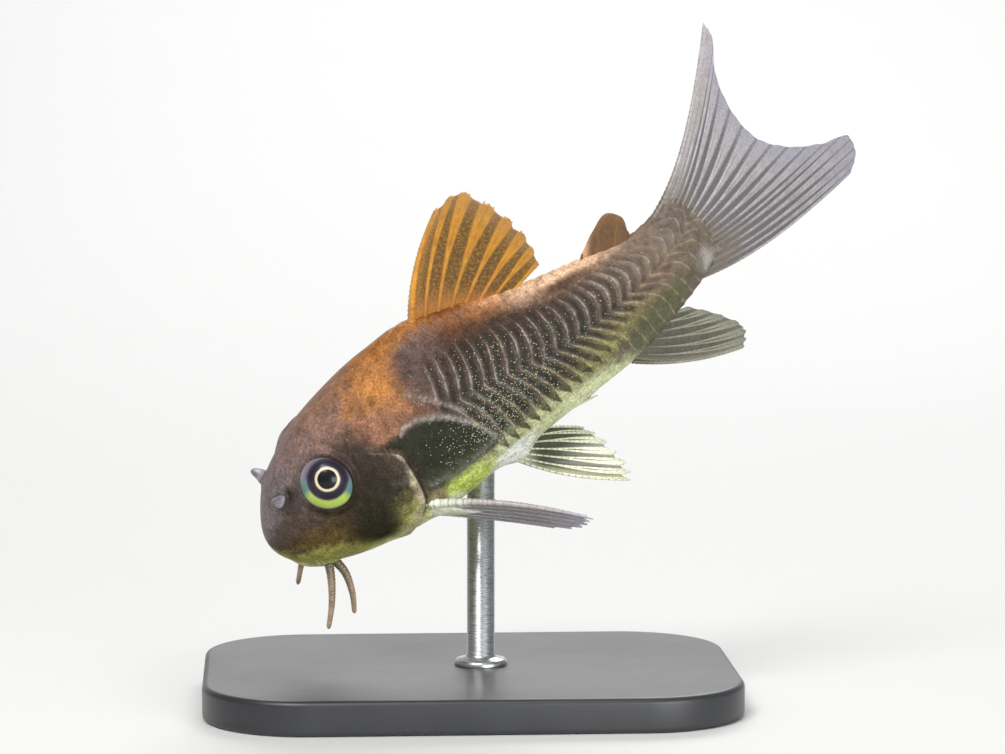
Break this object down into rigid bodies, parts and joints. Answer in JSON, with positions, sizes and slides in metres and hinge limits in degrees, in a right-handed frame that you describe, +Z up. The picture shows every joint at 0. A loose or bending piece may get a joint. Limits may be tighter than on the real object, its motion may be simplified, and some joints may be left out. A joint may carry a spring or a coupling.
{
  "type": "corydoras catfish",
  "caption": "Life-size still corydoras catfish, nose down in mid swim with its tail swung aside, on a flat base and a rod.",
  "frame": {"origin": "middle of the base's underside", "axes": "+Z up; -X the way the head points as seen in the picture; +Y away from the side that the picture shows"},
  "size_m": [0.0572, 0.034, 0.0585],
  "materials": {
    "skin": "satin",
    "spined_fin": "satin",
    "clear_fin": "satin",
    "barbel": "satin",
    "eye": "polished",
    "base": "satin",
    "rod": "brushed"
  },
  "bodies": {
    "root": {"head": "skin", "torso": "skin", "tail_stalk": "skin", "dorsal_fin": "spined_fin", "adipose_fin": "spined_fin", "anal_fin": "clear_fin", "caudal_fin_upper": "clear_fin", "caudal_fin_lower": "clear_fin", "pelvic_fin_left": "clear_fin", "pelvic_fin_right": "clear_fin", "pectoral_fin_left": "clear_fin", "pectoral_fin_right": "clear_fin", "eye_left": "eye", "eye_right": "eye", "barbel_upper_left": "barbel", "barbel_upper_right": "barbel", "barbel_lower_left": "barbel", "barbel_lower_right": "barbel", "stand_base": "base", "stand_rod": "rod"}
  },
  "joints": []
}
